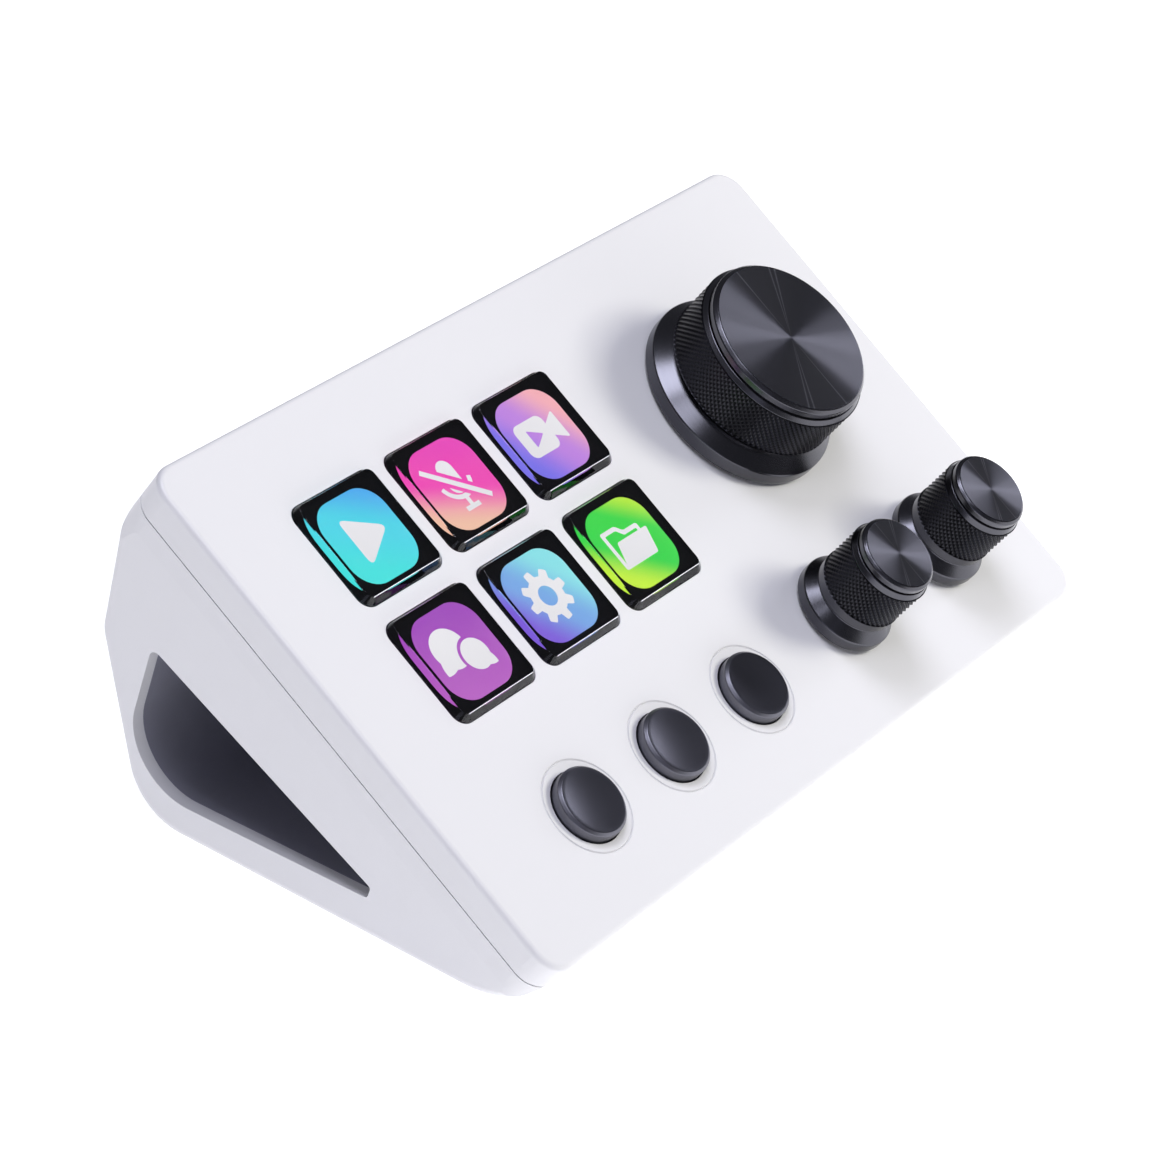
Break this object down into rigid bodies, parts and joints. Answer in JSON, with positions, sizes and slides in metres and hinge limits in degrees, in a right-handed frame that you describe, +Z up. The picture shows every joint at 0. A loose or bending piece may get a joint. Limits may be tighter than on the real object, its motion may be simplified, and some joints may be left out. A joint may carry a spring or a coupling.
{
  "type": "macro keypad with knobs",
  "caption": "Wedge-shaped desk controller: lit picture keys, round buttons and push-and-turn knobs on a sloping panel, with a hand tunnel through its base.",
  "frame": {"origin": "under the middle of the housing, on the surface the feet stand on", "axes": "+X to the user's right, +Y away from the user, +Z up"},
  "size_m": [0.1302, 0.0734, 0.0557],
  "materials": {
    "housing": "fine satin moulded, cool white",
    "liner": "satin black",
    "rubber": "matt",
    "board": "green solder mask",
    "steel": "bright",
    "switch": "matt dark grey",
    "cap_clear": "clear glossy plastic",
    "screen": "lit picture screen",
    "key_black": "black",
    "button_black": "black anodised, satin",
    "knob_dark": "dark anodised, turned",
    "knob_spun": "dark anodised, spun",
    "hub": "natural",
    "encoder": "matt black",
    "bushing": "machined"
  },
  "bodies": {
    "base": {"top_cover": "housing", "base_shell": "housing", "tunnel_liner": "liner", "feet": "rubber", "main_board": "board", "usb_board": "board", "usb_socket": "steel", "key_switches": "switch", "button_switches": "switch", "board_screws": "steel", "base_screws": "steel", "encoder_case_main": "encoder", "encoder_bushing_main": "bushing", "encoder_case_left": "encoder", "encoder_bushing_left": "bushing", "encoder_case_right": "encoder", "encoder_bushing_right": "bushing"},
    "key_1": {"key_cap_1": "cap_clear", "key_screen_1": "screen", "key_tray_1": "key_black"},
    "key_2": {"key_cap_2": "cap_clear", "key_screen_2": "screen", "key_tray_2": "key_black"},
    "key_3": {"key_cap_3": "cap_clear", "key_screen_3": "screen", "key_tray_3": "key_black"},
    "key_4": {"key_cap_4": "cap_clear", "key_screen_4": "screen", "key_tray_4": "key_black"},
    "key_5": {"key_cap_5": "cap_clear", "key_screen_5": "screen", "key_tray_5": "key_black"},
    "key_6": {"key_cap_6": "cap_clear", "key_screen_6": "screen", "key_tray_6": "key_black"},
    "button_left": {"button_cap_left": "button_black", "button_actuator_left": "switch"},
    "button_middle": {"button_cap_middle": "button_black", "button_actuator_middle": "switch"},
    "button_right": {"button_cap_right": "button_black", "button_actuator_right": "switch"},
    "rotor_main": {"encoder_rotor_main": "encoder"},
    "knob_main": {"encoder_shaft_main": "steel", "knob_hub_main": "hub", "knob_shell_main": "knob_dark", "knob_top_main": "knob_spun"},
    "rotor_left": {"encoder_rotor_left": "encoder"},
    "knob_left": {"encoder_shaft_left": "steel", "knob_hub_left": "hub", "knob_shell_left": "knob_dark", "knob_top_left": "knob_spun"},
    "rotor_right": {"encoder_rotor_right": "encoder"},
    "knob_right": {"encoder_shaft_right": "steel", "knob_hub_right": "hub", "knob_shell_right": "knob_dark", "knob_top_right": "knob_spun"}
  },
  "joints": [
    {"name": "key_1_press", "type": "slide", "parent": "base", "child": "key_1", "axis": [0, 0.5592, -0.829], "range_m": [0, 0.001], "stiffness_N_per_m": 300, "springref_m": -0.001},
    {"name": "key_2_press", "type": "slide", "parent": "base", "child": "key_2", "axis": [0, 0.5592, -0.829], "range_m": [0, 0.001], "stiffness_N_per_m": 300, "springref_m": -0.001},
    {"name": "key_3_press", "type": "slide", "parent": "base", "child": "key_3", "axis": [0, 0.5592, -0.829], "range_m": [0, 0.001], "stiffness_N_per_m": 300, "springref_m": -0.001},
    {"name": "key_4_press", "type": "slide", "parent": "base", "child": "key_4", "axis": [0, 0.5592, -0.829], "range_m": [0, 0.001], "stiffness_N_per_m": 300, "springref_m": -0.001},
    {"name": "key_5_press", "type": "slide", "parent": "base", "child": "key_5", "axis": [0, 0.5592, -0.829], "range_m": [0, 0.001], "stiffness_N_per_m": 300, "springref_m": -0.001},
    {"name": "key_6_press", "type": "slide", "parent": "base", "child": "key_6", "axis": [0, 0.5592, -0.829], "range_m": [0, 0.001], "stiffness_N_per_m": 300, "springref_m": -0.001},
    {"name": "button_left_press", "type": "slide", "parent": "base", "child": "button_left", "axis": [0, 0.5592, -0.829], "range_m": [0, 0.0007], "stiffness_N_per_m": 1000, "springref_m": -0.001},
    {"name": "button_middle_press", "type": "slide", "parent": "base", "child": "button_middle", "axis": [0, 0.5592, -0.829], "range_m": [0, 0.0007], "stiffness_N_per_m": 1000, "springref_m": -0.001},
    {"name": "button_right_press", "type": "slide", "parent": "base", "child": "button_right", "axis": [0, 0.5592, -0.829], "range_m": [0, 0.0007], "stiffness_N_per_m": 1000, "springref_m": -0.001},
    {"name": "knob_main_turn", "type": "hinge", "parent": "base", "child": "rotor_main", "pos_m": [0.0317, 0.00393, 0.03692], "axis": [0, -0.5592, 0.829], "continuous": true},
    {"name": "knob_main_press", "type": "slide", "parent": "rotor_main", "child": "knob_main", "axis": [0, 0.5592, -0.829], "range_m": [0, 0.0004], "stiffness_N_per_m": 1500, "springref_m": -0.001},
    {"name": "knob_left_turn", "type": "hinge", "parent": "base", "child": "rotor_left", "pos_m": [0.0202, -0.02297, 0.01878], "axis": [0, -0.5592, 0.829], "continuous": true},
    {"name": "knob_left_press", "type": "slide", "parent": "rotor_left", "child": "knob_left", "axis": [0, 0.5592, -0.829], "range_m": [0, 0.0004], "stiffness_N_per_m": 1500, "springref_m": -0.001},
    {"name": "knob_right_turn", "type": "hinge", "parent": "base", "child": "rotor_right", "pos_m": [0.0448, -0.02297, 0.01878], "axis": [0, -0.5592, 0.829], "continuous": true},
    {"name": "knob_right_press", "type": "slide", "parent": "rotor_right", "child": "knob_right", "axis": [0, 0.5592, -0.829], "range_m": [0, 0.0004], "stiffness_N_per_m": 1500, "springref_m": -0.001}
  ]
}
